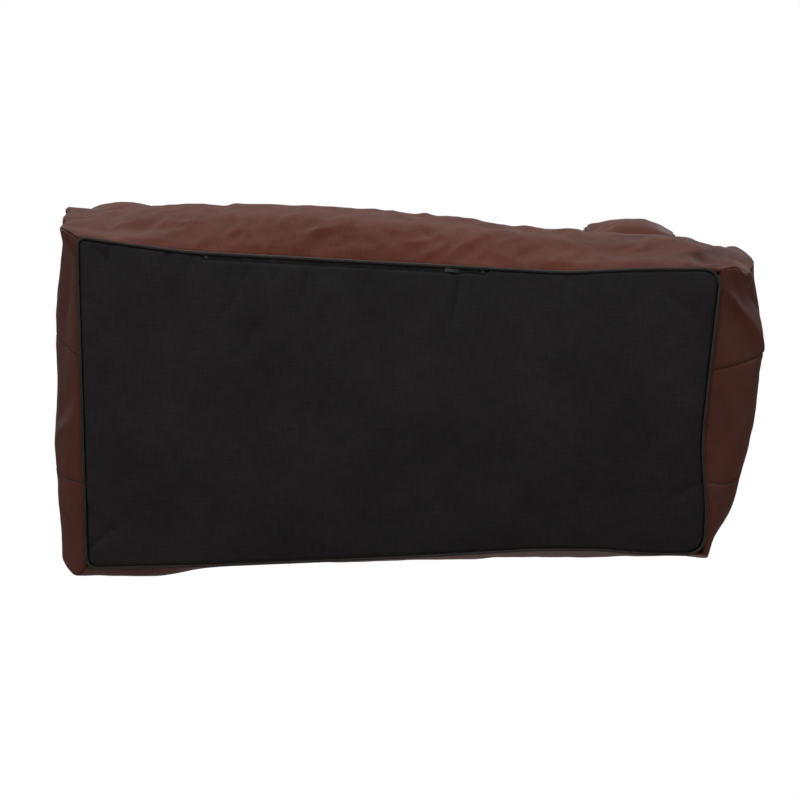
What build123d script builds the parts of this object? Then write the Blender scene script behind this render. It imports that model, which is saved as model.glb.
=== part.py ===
from build123d import *
import os

# A two-seat bean bag chair: one wide seat block of loose beads, two arms and a backrest sewn on
# top of it, a woven base panel edged with piping, and the zip that opens the cover for refilling.
# Millimetres. +Z is up, the sitter faces -Y, and the origin is the middle of the base, on the floor.

# ---- driving dimensions -------------------------------------------------------------------------
BASE_WIDTH = 1300.0  # piping to piping, left to right
BASE_DEPTH = 640.0  # piping to piping, front to rear
BASE_CORNER = 45.0  # plan radius of the piped edge
SEAT_HEIGHT = 360.0

# plan of the seat block at each height: height, half width, half depth, corner radius
SEAT_LEVELS = [
    (0.0, 632.0, 300.0, 35.0),
    (60.0, 702.0, 332.0, 60.0),
    (180.0, 760.0, 362.0, 85.0),
    (300.0, 757.0, 370.0, 85.0),
    (SEAT_HEIGHT, 728.0, 348.0, 70.0),
]
SEAM_FRONT = -95.0  # depth of the front seam on each side wall
SEAM_REAR = 145.0  # depth of the rear seam on each side wall
WALL_FOOT = 10.0  # the walls end this high, where the edging begins
TOP_SEAM = 12.0  # the top panel starts this far below the top

ARM_INNER = 445.0
ARM_OUTER = 680.0
ARM_FRONT = -330.0
ARM_TOP = 600.0
ARM_ROUND = 55.0

BACK_HALF_WIDTH = 700.0
BACK_FRONT = 190.0
BACK_REAR = 370.0
BACK_TOP = 650.0
BACK_ROUND = 60.0
BACK_BOXING = 60.0  # width of the strip between the front and rear panels of the backrest

COVER = 1.2  # thickness of the outer fabric
LINER = 0.6  # thickness of the inner bag
LAYER_GAP = 0.4
SEAM_GAP = 0.3  # left between two panels that are sewn together

PIPING_RADIUS = 3.0
PIPING_CORD = 1.9
SLEEVE_GAP = 0.1  # between the cord and the sleeve sewn round it
PIPING_RISE = 3.1  # height of the piping's centre line
BASE_MARGIN = 13.2  # from the piping's centre line to the edge of the base panel

ZIP_LINE = -312.0  # depth of the zip's centre line, just inside the front piping
ZIP_START = -400.0
ZIP_END = 156.0
ZIP_PART = 0.6  # half the gap between the two rows of coil
COIL_WIDTH = 2.0
COIL_LOW = 4.5
COIL_THICK = 1.8
COIL_ROUND = 0.5
TAPE_LOW = 6.5
TAPE_THICK = 0.5
TAPE_REACH = 6.4  # from the zip's centre line to the sewn edge of the base-side tape
TAPE_REACH_PIPING = 4.6  # the same, on the side of the piping
TAPE_OVERHANG = 8.0  # length of each tape past its stop
STOP_LENGTH = 3.4
STOP_ROUND = 0.8
STOP_GAP = 0.2  # between a stop and the end of the coil
STOP_BELOW_TAPE = 0.1

SLIDER_X = 86.0  # where the slider is parked
SLIDER_LENGTH = 11.0
SLIDER_WIDTH = 9.0
SLIDER_PLATE = 0.8
SLIDER_LOW = 3.4
SLIDER_HIGH = 8.7
SLIDER_ROUND = 2.2
DIVIDER_HALF = 0.4
DIVIDER_NOSE = 1.0  # from the slider's left end to its divider
DIVIDER_TAIL = 3.0  # and from the divider to its right end
FLANGE = 0.9
FLANGE_SETBACK = 2.4  # the flanges stop this far short of the slider's ends
LUG_X = SLIDER_X + 1.0
LUG_Z = 2.2
LUG_PIN = 0.55
LUG_HALF_LENGTH = 0.8
LUG_CHEEK = 1.0  # thickness of each cheek that carries the pin
LUG_TIP = 0.7  # the cheeks reach this far past the pin's axis
PULL_LENGTH = 21.0
PULL_WIDTH = 6.4
PULL_LOW = 0.7
PULL_THICK = 1.1
PULL_ROUND = 1.6
PULL_PLAY = 0.25  # clearance of the eye on the lug's pin
EYE_RADIUS = 1.1
EYE_SIDE_GAP = 1.3  # from each side of the pull to its eye
NECK_LENGTH = 4.0
NECK_LOW = 1.0  # the neck runs from this far below the pin's axis
NECK_HIGH = 0.1  # to this far below it
TAB_START = 2.6
WINDOW_LENGTH = 6.0
WINDOW_WIDTH = 2.8
WINDOW_FROM_END = 5.2  # from the middle of the tab's window to its end

LINER_INSET = COVER + LAYER_GAP
FILL_INSET = LINER_INSET + LINER + LAYER_GAP
FAR = 4000.0  # larger than the object, for cutting
WEDGE_OVERLAP = 40.0  # how far the cut at the corner seams runs past the walls


def slab(x_low, x_high, y_low, y_high, z_low, z_high):
    """A box given by its two opposite corners."""
    size = (x_high - x_low, y_high - y_low, z_high - z_low)
    middle = ((x_low + x_high) / 2, (y_low + y_high) / 2, (z_low + z_high) / 2)
    return Pos(*middle) * Box(*size)


def seat_body(inset):
    """The seat block, flared out from its foot and drawn in at the top, made smaller by inset."""
    plans = []
    for height, half_width, half_depth, corner in SEAT_LEVELS:
        level = min(max(height, inset), SEAT_HEIGHT - inset)
        width = 2 * (half_width - inset)
        depth = 2 * (half_depth - inset)
        plans.append(Plane.XY.offset(level) * RectangleRounded(width, depth, corner))
    return loft(plans, ruled=True)


def pouch(x_low, x_high, y_low, y_high, z_low, z_high, round_radius, inset):
    """A stuffed pad: a box with all its edges well rounded, made smaller by inset."""
    body = slab(
        x_low + inset, x_high - inset, y_low + inset, y_high - inset, z_low + inset, z_high - inset
    )
    return fillet(body.edges(), round_radius - inset)


def arm(side, inset):
    """One armrest; side is -1 for the left and 1 for the right."""
    x_low, x_high = sorted((side * ARM_INNER, side * ARM_OUTER))
    low = SEAT_HEIGHT + SEAM_GAP
    return pouch(
        x_low, x_high, ARM_FRONT, BACK_FRONT - SEAM_GAP, low, ARM_TOP, ARM_ROUND, inset
    )


def back(inset):
    """The backrest bolster, as wide as the seat."""
    low = SEAT_HEIGHT + SEAM_GAP
    half = BACK_HALF_WIDTH
    return pouch(-half, half, BACK_FRONT, BACK_REAR, low, BACK_TOP, BACK_ROUND, inset)


def skin(body):
    """The outer fabric of a body, given as a function of its inset."""
    return body(0.0) - body(COVER)


def liner(body):
    """The inner bag that holds the beads of a body."""
    return body(LINER_INSET) - body(LINER_INSET + LINER)


def ring(radius, hollow=0.0):
    """A round cord along the edge of the base; hollow is the radius left free inside it."""
    route = RectangleRounded(BASE_WIDTH, BASE_DEPTH, BASE_CORNER).face().outer_wire()
    route = Pos(0, 0, PIPING_RISE) * route
    start = Plane(origin=route @ 0, z_dir=route % 0)
    section = start * Circle(radius)
    if hollow:
        section = section - start * Circle(hollow)
    return sweep(section, path=route)


def corner_wedge(side, margin=0.0):
    """The stretch of the seat block before (side -1) or behind (1) its corner seams."""
    _, foot_width, foot_depth, _ = SEAT_LEVELS[0]
    _, belly_width, belly_depth, _ = SEAT_LEVELS[2]
    lean = (belly_depth - foot_depth) / (belly_width - foot_width)
    inner = foot_width - WEDGE_OVERLAP
    outer = belly_width + WEDGE_OVERLAP
    inner_y = side * (foot_depth - lean * WEDGE_OVERLAP + margin)
    outer_y = side * (foot_depth + lean * (outer - foot_width) + margin)
    plan = Polygon(
        (-inner, inner_y), (inner, inner_y), (outer, outer_y), (-outer, outer_y), align=None
    )
    return extrude(plan, 2 * SEAT_HEIGHT, both=True)


def seat_panels():
    """The sewn panels of the seat block's cover, cut from one skin along their seams."""
    cover = skin(seat_body)
    walls = cover & slab(-FAR, FAR, -FAR, FAR, WALL_FOOT, SEAT_HEIGHT - TOP_SEAM)
    top_start = SEAT_HEIGHT - TOP_SEAM + SEAM_GAP
    panels = {
        "seat_top_panel": cover & slab(-FAR, FAR, -FAR, FAR, top_start, FAR),
        "seat_front_panel": walls & corner_wedge(-1),
        "seat_rear_panel": walls & corner_wedge(1),
    }
    sides = walls - corner_wedge(-1, -SEAM_GAP) - corner_wedge(1, -SEAM_GAP)
    half = SEAM_GAP / 2
    strips = {
        "front": (-FAR, SEAM_FRONT - half),
        "middle": (SEAM_FRONT + half, SEAM_REAR - half),
        "rear": (SEAM_REAR + half, FAR),
    }
    for side_name, side in (("left", -1), ("right", 1)):
        x_low, x_high = sorted((side * SEAM_GAP, side * FAR))
        for strip_name, (y_low, y_high) in strips.items():
            cutter = slab(x_low, x_high, y_low, y_high, -FAR, FAR)
            panels[f"{side_name}_side_{strip_name}_strip"] = sides & cutter
    return panels


def arm_panels(side_name, side):
    """One armrest's cover: the wrap that goes round it, and the shaped panel on its front."""
    cover = skin(lambda inset: arm(side, inset))
    seam = ARM_FRONT + ARM_ROUND
    return {
        f"{side_name}_arm_front_panel": cover & slab(-FAR, FAR, -FAR, seam - SEAM_GAP, -FAR, FAR),
        f"{side_name}_arm_wrap": cover & slab(-FAR, FAR, seam, FAR, -FAR, FAR),
    }


def back_panels():
    """The backrest's cover: a front panel, a rear panel and the boxing strip between them."""
    cover = skin(back)
    middle = (BACK_FRONT + BACK_REAR) / 2
    low = middle - BACK_BOXING / 2
    high = middle + BACK_BOXING / 2
    return {
        "back_front_panel": cover & slab(-FAR, FAR, -FAR, low - SEAM_GAP, -FAR, FAR),
        "back_boxing_strip": cover & slab(-FAR, FAR, low, high, -FAR, FAR),
        "back_rear_panel": cover & slab(-FAR, FAR, high + SEAM_GAP, FAR, -FAR, FAR),
    }


def base_panel():
    """The flat woven panel that the chair stands on."""
    width = BASE_WIDTH - 2 * BASE_MARGIN
    depth = BASE_DEPTH - 2 * BASE_MARGIN
    return extrude(RectangleRounded(width, depth, BASE_CORNER - BASE_MARGIN), COVER)


def zip_row(side):
    """Coil and tape of one half of the zip; side is 1 towards the base and -1 to the piping."""
    reach = TAPE_REACH if side > 0 else TAPE_REACH_PIPING
    near = ZIP_LINE + side * ZIP_PART
    coil_far = near + side * COIL_WIDTH
    coil_y = sorted((near, coil_far))
    tape_y = sorted((near, ZIP_LINE + side * reach))
    coil = slab(ZIP_START, ZIP_END, *coil_y, COIL_LOW, COIL_LOW + COIL_THICK)
    coil = fillet(coil.edges().filter_by(Axis.X), COIL_ROUND)
    overhang = STOP_LENGTH + TAPE_OVERHANG
    tape_start = ZIP_START - overhang
    tape_end = ZIP_END + overhang
    tape = slab(tape_start, tape_end, *tape_y, TAPE_LOW, TAPE_LOW + TAPE_THICK)
    return coil, tape


def zip_stop(x_low):
    """A clamp across both rows that stops the slider at one end of the zip."""
    half = ZIP_PART + COIL_WIDTH
    x_high = x_low + STOP_LENGTH
    top = TAPE_LOW - STOP_BELOW_TAPE
    stop = slab(x_low, x_high, ZIP_LINE - half, ZIP_LINE + half, SLIDER_LOW, top)
    return fillet(stop.edges().filter_by(Axis.Z), STOP_ROUND)


def across_lug(radius, width):
    """A cylinder along the lug's pin."""
    return Pos(LUG_X, ZIP_LINE, LUG_Z) * Rot(90, 0, 0) * Cylinder(radius, width)


def zip_slider():
    """Two plates joined by a thin divider that runs between the rows, with a lug for the pull."""
    x_low = SLIDER_X - SLIDER_LENGTH / 2
    x_high = SLIDER_X + SLIDER_LENGTH / 2
    half = SLIDER_WIDTH / 2
    outer_top = SLIDER_LOW + SLIDER_PLATE
    inner_low = SLIDER_HIGH - SLIDER_PLATE
    plates = []
    for low, high in ((SLIDER_LOW, outer_top), (inner_low, SLIDER_HIGH)):
        plate = slab(x_low, x_high, ZIP_LINE - half, ZIP_LINE + half, low, high)
        plates.append(fillet(plate.edges().filter_by(Axis.Z), SLIDER_ROUND))
    divider_x = (x_low + DIVIDER_NOSE, x_high - DIVIDER_TAIL)
    divider_y = (ZIP_LINE - DIVIDER_HALF, ZIP_LINE + DIVIDER_HALF)
    body = plates[0] + plates[1] + slab(*divider_x, *divider_y, outer_top, inner_low)
    flange_x = (x_low + FLANGE_SETBACK, x_high - FLANGE_SETBACK)
    for side in (-1, 1):
        flange_y = sorted((ZIP_LINE + side * (half - FLANGE), ZIP_LINE + side * half))
        body += slab(*flange_x, *flange_y, outer_top, outer_top + FLANGE)
    body += across_lug(LUG_PIN, PULL_WIDTH)
    cheek_x = (LUG_X - LUG_HALF_LENGTH, LUG_X + LUG_HALF_LENGTH)
    for side in (-1, 1):
        outside = ZIP_LINE + side * PULL_WIDTH / 2
        cheek_y = sorted((outside, outside - side * LUG_CHEEK))
        body += slab(*cheek_x, *cheek_y, LUG_Z - LUG_TIP, SLIDER_LOW)
    return body


def zip_pull():
    """A flat tab whose eye turns on the lug's pin; it lies along the zip when parked."""
    half = PULL_WIDTH / 2
    eye_half = half - EYE_SIDE_GAP
    eye = across_lug(EYE_RADIUS, 2 * eye_half)
    neck_y = (ZIP_LINE - eye_half, ZIP_LINE + eye_half)
    neck = slab(LUG_X, LUG_X + NECK_LENGTH, *neck_y, LUG_Z - NECK_LOW, LUG_Z - NECK_HIGH)
    tab_end = LUG_X + PULL_LENGTH
    tab_y = (ZIP_LINE - half, ZIP_LINE + half)
    tab = slab(LUG_X + TAB_START, tab_end, *tab_y, PULL_LOW, PULL_LOW + PULL_THICK)
    tab = fillet(tab.edges().filter_by(Axis.Z), PULL_ROUND)
    window = extrude(SlotOverall(WINDOW_LENGTH, WINDOW_WIDTH), PULL_THICK)
    window = Pos(tab_end - WINDOW_FROM_END, ZIP_LINE, PULL_LOW) * window
    bore = across_lug(LUG_PIN + PULL_PLAY, 2 * PULL_WIDTH)
    return eye + neck + tab - window - bore


def build():
    """Every node of the chair, by name."""
    nodes = {
        "base_panel": base_panel(),
        "base_piping_cord": ring(PIPING_CORD),
        "base_piping_sleeve": ring(PIPING_RADIUS, PIPING_CORD + SLEEVE_GAP),
        "seat_liner": liner(seat_body),
        "seat_bead_fill": seat_body(FILL_INSET),
        "back_liner": liner(back),
        "back_bead_fill": back(FILL_INSET),
    }
    nodes.update(seat_panels())
    nodes.update(back_panels())
    for side_name, side in (("left", -1), ("right", 1)):
        nodes.update(arm_panels(side_name, side))
        nodes[f"{side_name}_arm_liner"] = liner(lambda inset: arm(side, inset))
        nodes[f"{side_name}_arm_bead_fill"] = arm(side, FILL_INSET)
    for row_name, side in (("base", 1), ("piping", -1)):
        coil, tape = zip_row(side)
        nodes[f"zip_coil_{row_name}_side"] = coil
        nodes[f"zip_tape_{row_name}_side"] = tape
    nodes["zip_start_stop"] = zip_stop(ZIP_START - STOP_GAP - STOP_LENGTH)
    nodes["zip_end_stop"] = zip_stop(ZIP_END + STOP_GAP)
    nodes["zip_slider"] = zip_slider()
    nodes["zip_pull"] = zip_pull()
    return nodes


os.makedirs("parts", exist_ok=True)
for node_name, shape in build().items():
    export_step(shape, f"parts/{node_name}.step")
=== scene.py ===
import math

import bpy
import numpy as np
from mathutils import Matrix, Vector, noise


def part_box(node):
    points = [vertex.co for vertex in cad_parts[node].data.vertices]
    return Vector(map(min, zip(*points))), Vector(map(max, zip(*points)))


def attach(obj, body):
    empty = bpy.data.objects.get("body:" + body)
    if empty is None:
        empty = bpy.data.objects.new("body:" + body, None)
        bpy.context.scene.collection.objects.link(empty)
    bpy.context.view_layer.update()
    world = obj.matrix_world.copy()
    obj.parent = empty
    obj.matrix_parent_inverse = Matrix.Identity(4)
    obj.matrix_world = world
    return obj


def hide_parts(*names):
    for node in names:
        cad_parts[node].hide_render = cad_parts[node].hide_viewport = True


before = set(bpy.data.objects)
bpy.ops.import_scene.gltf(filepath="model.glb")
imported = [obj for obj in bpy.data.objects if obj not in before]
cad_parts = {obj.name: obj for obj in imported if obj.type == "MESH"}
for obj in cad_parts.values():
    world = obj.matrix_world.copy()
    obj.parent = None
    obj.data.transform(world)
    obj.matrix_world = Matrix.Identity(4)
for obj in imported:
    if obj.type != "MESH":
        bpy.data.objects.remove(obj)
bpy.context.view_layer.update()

# A two-seat bean bag chair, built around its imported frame. Metres, +Z up, the sitter faces -Y.

# ---- sizes ----
GRID = 0.0105  # the fabric's mesh spacing
SEAT_TOP = 0.360
SIDE_SEAMS = (-0.095, 0.145)  # where the side walls' strips are sewn, along Y
CORNER_RIGHT = 0.040  # plan radius of the base's corners
CORNER_LEFT = 0.020
CORNER_TOP = 0.015  # the same, where the walls meet the seat's top

# how far the seat block's walls stand out at each height, as a share of the base's half size
WALL_LEVELS = np.array([0.0, 0.04, 0.10, 0.20, 0.30, SEAT_TOP])
WALL_WIDTH = np.array([1.0, 1.070, 1.115, 1.140, 1.135, 1.125])
WALL_DEPTH = np.array([1.0, 1.070, 1.110, 1.125, 1.120, 1.100])

# where the settled chair's edges lie: (distance along the side, place of the edge), at the floor
BASE_FRONT = (
    (-0.667, -0.341), (-0.540, -0.329), (-0.420, -0.320), (0.340, -0.320), (0.480, -0.335),
    (0.634, -0.344),
)
BASE_REAR = (
    (-0.641, 0.368), (-0.400, 0.348), (0.020, 0.304), (0.300, 0.270), (0.440, 0.262),
    (0.518, 0.266), (0.654, 0.260),
)
BASE_LEFT = ((-0.340, -0.667), (0.361, -0.639))
BASE_RIGHT = (
    (-0.344, 0.636), (-0.100, 0.630), (0.050, 0.627), (0.120, 0.634), (0.194, 0.646),
    (0.256, 0.650),
)
# and at the fullest part of the walls
WALL_FRONT = (
    (-0.750, -0.341), (-0.663, -0.347), (-0.504, -0.355), (-0.270, -0.357), (-0.025, -0.355),
    (0.182, -0.342), (0.362, -0.337), (0.578, -0.350), (0.681, -0.333), (0.730, -0.318),
)
WALL_REAR = (
    (-0.716, 0.389), (-0.454, 0.394), (-0.400, 0.393), (-0.204, 0.391), (0.016, 0.375),
    (0.234, 0.351), (0.415, 0.326), (0.450, 0.326), (0.657, 0.308),
)
WALL_LEFT = (
    (-0.330, -0.738), (-0.273, -0.735), (-0.164, -0.750), (-0.065, -0.753), (0.035, -0.751),
    (0.238, -0.741), (0.369, -0.726),
)
WALL_RIGHT = (
    (-0.310, 0.732), (-0.250, 0.750), (-0.199, 0.760), (-0.123, 0.766), (-0.050, 0.768), (0.027, 0.763),
    (0.137, 0.748), (0.197, 0.736), (0.255, 0.728), (0.310, 0.686),
)

LINER_DEPTH = 0.015  # how far the liner lies under the cover
FILL_DEPTH = 0.020  # and the beads
DEEPEST_FOLD = 0.011  # a hollow in the cover stays clear of the liner
SEAM_DEPTH = 0.005  # how far a panel's edge turns in at its seam
SEAM_ROUND = 0.0020  # and how far its lip is rounded over
SEAM_HALF = 0.0006  # half the gap between the lips of a seam
FILL_ROOM = 0.012  # how far the seat's top lies below SEAT_TOP before it is filled
OUTER = 0.999  # a cell coordinate beyond this lies on the lattice's outside

piping_low, piping_high = (Vector(c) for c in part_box("base_piping_sleeve"))
PIPING_RADIUS = 0.003
PIPING_Z = (piping_low.z + piping_high.z) / 2
HALF_WIDTH = piping_high.x - PIPING_RADIUS
HALF_DEPTH = piping_high.y - PIPING_RADIUS


# ---- helpers ----
def smooth_step(low, high, value):
    """0 below low, 1 above high, and a smooth rise between."""
    t = np.clip((value - low) / (high - low), 0.0, 1.0)
    return t * t * (3 - 2 * t)


def new_object(name, points, faces):
    """A mesh object in the scene, from an array of points and a list of faces."""
    mesh = bpy.data.meshes.new(name)
    mesh.from_pydata([tuple(p) for p in points], [], [tuple(int(i) for i in f) for f in faces])
    mesh.validate()
    piece = bpy.data.objects.new(name, mesh)
    bpy.context.scene.collection.objects.link(piece)
    return piece


def read_array(items, attribute, width, kind=float):
    """An attribute of all the items of a mesh, in rows."""
    flat = np.empty(len(items) * width, dtype=kind)
    items.foreach_get(attribute, flat)
    return flat.reshape(-1, width)


def discard(piece):
    mesh = piece.data
    bpy.data.objects.remove(piece)
    bpy.data.meshes.remove(mesh)


def write_points(piece, points):
    piece.data.vertices.foreach_set("co", np.asarray(points, dtype=float).ravel())
    piece.data.update()


def point_normals(points, faces):
    """Unit normals at the points of a quad mesh."""
    corners = points[faces]
    across = np.cross(corners[:, 2] - corners[:, 0], corners[:, 3] - corners[:, 1])
    normals = np.zeros_like(points)
    for corner in range(4):
        np.add.at(normals, faces[:, corner], across)
    return normals / np.maximum(np.linalg.norm(normals, axis=1, keepdims=True), 1e-12)


def directed_edges(faces):
    """All the edges of a quad mesh, each in its face's direction."""
    return np.concatenate([np.stack((faces[:, c], faces[:, (c + 1) % 4]), axis=1) for c in range(4)])


def renumbered(faces, count):
    """The points that some faces use, out of count, and the faces numbered for those alone."""
    used = np.unique(faces)
    index = np.full(count, -1)
    index[used] = np.arange(len(used))
    return used, index[faces]


def fractal(points, scale, seed, octaves=3):
    """Smooth noise between about -1 and 1 at each point."""
    offset = Vector((seed * 7.13, seed * 3.71, seed * 5.37))
    values = [
        noise.fractal(Vector(p) / scale + offset, 1.0, 2.0, octaves, noise_basis="PERLIN_ORIGINAL")
        for p in points
    ]
    return np.array(values)


# ---- a box-shaped lattice of fabric ----
FRONT, REAR, LEFT, RIGHT, BOTTOM, TOP = range(6)
CORNERS = ((0, 0), (1, 0), (1, 1), (0, 1))  # of a cell, seen from outside


def lattice(counts):
    """The shell of a box divided into counts cells: cell coordinates, quads and each quad's side."""
    nx, ny, nz = counts
    index = {}
    coordinates = []
    faces = []
    sides = []

    def vertex(i, j, k):
        key = (i, j, k)
        if key not in index:
            index[key] = len(coordinates)
            coordinates.append((2 * i / nx - 1, 2 * j / ny - 1, 2 * k / nz - 1))
        return index[key]

    for i in range(nx):
        for k in range(nz):
            faces.append([vertex(i + a, 0, k + c) for a, c in CORNERS])
            faces.append([vertex(i + 1 - a, ny, k + c) for a, c in CORNERS])
            sides += [FRONT, REAR]
    for j in range(ny):
        for k in range(nz):
            faces.append([vertex(0, j + 1 - a, k + c) for a, c in CORNERS])
            faces.append([vertex(nx, j + a, k + c) for a, c in CORNERS])
            sides += [LEFT, RIGHT]
    for i in range(nx):
        for j in range(ny):
            faces.append([vertex(i + a, j + 1 - c, 0) for a, c in CORNERS])
            faces.append([vertex(i + a, j + c, nz) for a, c in CORNERS])
            sides += [BOTTOM, TOP]
    return np.array(coordinates), np.array(faces), np.array(sides)


def round_plan(x, y, half_x, half_y, radius):
    """Pulls the corners of a plan rectangle in to arcs, evenly for points inside it too."""
    inner_x = np.clip(x, -(half_x - radius), half_x - radius)
    inner_y = np.clip(y, -(half_y - radius), half_y - radius)
    dx = x - inner_x
    dy = y - inner_y
    length = np.maximum(np.hypot(dx, dy), 1e-12)
    reach = np.maximum(np.abs(dx), np.abs(dy))
    return inner_x + dx / length * reach, inner_y + dy / length * reach


def round_box(points, middle, half, radius):
    """Rounds all the edges of a box's shell."""
    local = points - middle
    core = np.clip(local, -(half - radius), half - radius)
    out = local - core
    length = np.maximum(np.linalg.norm(out, axis=1, keepdims=True), 1e-12)
    reach = np.abs(out).max(axis=1, keepdims=True)
    return middle + core + out / length * reach


# ---- how the filled cover has settled ----
SOFT_STEPS = 9


def along(stations, place, softness=0.035):
    """A soft curve through (place, value) stations."""
    at, value = np.array(stations).T
    steps = np.linspace(-softness, softness, SOFT_STEPS)
    return np.mean([np.interp(place + step, at, value) for step in steps], axis=0)


def edge_reach(points, cells, axis, side, height):
    """How far out a wall stands between two heights: cell coordinates along it, reach, place."""
    other = 1 - axis
    wall = (cells[:, axis] * side > OUTER) & (points[:, 2] > height[0]) & (points[:, 2] < height[1])
    columns, number = np.unique(cells[wall, other].round(6), return_inverse=True)
    reach = np.full(len(columns), -np.inf)
    np.maximum.at(reach, number, side * points[wall, axis])
    place = np.zeros(len(columns))
    share = np.zeros(len(columns))
    np.add.at(place, number, points[wall, other])
    np.add.at(share, number, 1)
    return columns, side * reach, place / share


# axis, side, edge at the floor, edge at the fullest part, lowest height of that part, and the
# height by which the wall has flared out to it
EDGES = (
    (1, -1, BASE_FRONT, WALL_FRONT, 0.29, 0.11),
    (1, 1, BASE_REAR, WALL_REAR, 0.10, 0.07),
    (0, -1, BASE_LEFT, WALL_LEFT, 0.10, 0.11),
    (0, 1, BASE_RIGHT, WALL_RIGHT, 0.10, 0.11),
)


def settle(points, cells):
    """Moves the filled walls to the edges that they settle to."""
    moved = points.copy()
    for axis, side, floor_edge, wall_edge, low, flare in EDGES:
        rise = smooth_step(0.0, flare, points[:, 2])
        nearness = (1 + side * cells[:, axis]) / 2
        for stations, band, share in (
            (floor_edge, (-1.0, PIPING_Z + 0.001), 1 - rise),
            (wall_edge, (low, 1.0), rise),
        ):
            columns, reach, place = edge_reach(points, cells, axis, side, band)
            wanted = along(stations, place) - reach
            moved[:, axis] += nearness * share * np.interp(cells[:, 1 - axis], columns, wanted)
    return moved


def base_slump(points):
    """The same settling for flat points inside the base's outline."""
    cells = points[:, :2] / (HALF_WIDTH, HALF_DEPTH)
    moved = points.copy()
    for axis, side, stations, *_ in EDGES:
        half = (HALF_WIDTH, HALF_DEPTH)[axis]
        other_half = (HALF_WIDTH, HALF_DEPTH)[1 - axis]
        nearness = (1 + side * cells[:, axis]) / 2
        place = cells[:, 1 - axis] * other_half
        moved[:, axis] += nearness * (along(stations, place) - side * half)
    return moved


def pull(points, centre, reach, move):
    """Draws the cloth around a place by a small move that fades away from it."""
    distance = np.linalg.norm(points - np.array(centre), axis=1)
    return points + np.exp(-((distance / reach) ** 2))[:, None] * np.array(move)


def fit_box(points, low, high):
    """Stretches a pad to the box that it fills once settled."""
    old_low = points.min(axis=0)
    old_high = points.max(axis=0)
    share = (points - old_low) / (old_high - old_low)
    return np.array(low) + share * (np.array(high) - np.array(low))


# ---- the shells before they are filled ----
def seat_counts():
    """How many cells the seat block has along X, Y and Z."""
    width = 2 * HALF_WIDTH
    depth = 2 * HALF_DEPTH
    return round(width / GRID), round(depth / GRID), round(SEAT_TOP / GRID)


def seat_shell():
    """The seat block's cover before it is filled: flared walls on the piped base, and a flat top."""
    cells, faces, sides = lattice(seat_counts())
    x = cells[:, 0] * HALF_WIDTH
    y = cells[:, 1] * HALF_DEPTH
    height = (cells[:, 2] + 1) / 2
    radius = np.where(x > 0, CORNER_RIGHT, CORNER_LEFT)
    radius = radius + (CORNER_TOP - radius) * smooth_step(0.1, 0.9, height)
    x, y = round_plan(x, y, HALF_WIDTH, HALF_DEPTH, radius)
    z = PIPING_Z + height * (SEAT_TOP - FILL_ROOM - PIPING_Z)
    x = x * np.interp(z, WALL_LEVELS, WALL_WIDTH)
    y = y * np.interp(z, WALL_LEVELS, WALL_DEPTH)
    return cells, faces, sides, np.column_stack((x, y, z))


def pouch_shell(low, high, radius):
    """A closed pad between two corners."""
    low = np.array(low)
    high = np.array(high)
    size = high - low
    counts = [max(4, round(s / GRID)) for s in size]
    cells, faces, sides = lattice(counts)
    middle = (low + high) / 2
    points = round_box(middle + cells * size / 2, middle, size / 2, radius)
    return cells, faces, sides, points


# ---- camera and light ----
CAMERA_DISTANCE = 4.06
CAMERA_BELOW = math.radians(14.7)  # how far the view is tipped towards the chair's front
CAMERA_RIGHT = math.radians(1.5)
CAMERA_ROLL = math.radians(2.8)
CAMERA_LENS = 89.1
AIM = Vector((0.0, -0.020, 0.0))
AIM_RIGHT = 0.0041
AIM_UP = 0.0164


def make_camera():
    forward = Vector(
        (
            -math.sin(CAMERA_RIGHT) * math.cos(CAMERA_BELOW),
            math.sin(CAMERA_BELOW),
            math.cos(CAMERA_RIGHT) * math.cos(CAMERA_BELOW),
        )
    ).normalized()
    up = Vector((0, -1, 0))
    up = (up - up.dot(forward) * forward).normalized()
    right = forward.cross(up)
    turned_right = math.cos(CAMERA_ROLL) * right + math.sin(CAMERA_ROLL) * up
    turned_up = -math.sin(CAMERA_ROLL) * right + math.cos(CAMERA_ROLL) * up
    aim = AIM + AIM_RIGHT * turned_right + AIM_UP * turned_up
    data = bpy.data.cameras.new("camera")
    data.lens = CAMERA_LENS
    data.sensor_width = 36.0
    camera = bpy.data.objects.new("camera", data)
    bpy.context.scene.collection.objects.link(camera)
    rotation = Matrix((turned_right, turned_up, -forward)).transposed()
    camera.matrix_world = Matrix.Translation(aim - CAMERA_DISTANCE * forward) @ rotation.to_4x4()
    bpy.context.scene.camera = camera


def area_light(name, position, target, size, power, colour=(1, 1, 1)):
    data = bpy.data.lights.new(name, "AREA")
    data.shape = "DISK"
    data.size = size
    data.energy = power
    data.color = colour
    light = bpy.data.objects.new(name, data)
    bpy.context.scene.collection.objects.link(light)
    direction = Vector(target) - Vector(position)
    light.rotation_euler = direction.to_track_quat("-Z", "Y").to_euler()
    light.location = position


def set_inputs(tree, node, inputs):
    """Gives a node's inputs their values, or links them to the outputs of other nodes."""
    for name, value in inputs.items():
        if isinstance(value, bpy.types.NodeSocket):
            tree.links.new(value, node.inputs[name])
        else:
            node.inputs[name].default_value = value


def add_node(tree, kind, inputs, **settings):
    """A new node with its settings and its inputs."""
    node = tree.nodes.new(kind)
    for name, value in settings.items():
        setattr(node, name, value)
    set_inputs(tree, node, inputs)
    return node


def mixed(tree, factor, first, second):
    """Two surfaces or backgrounds mixed by a factor."""
    mix = add_node(tree, "ShaderNodeMixShader", {"Fac": factor, 1: first, 2: second})
    return mix.outputs["Shader"]


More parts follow.
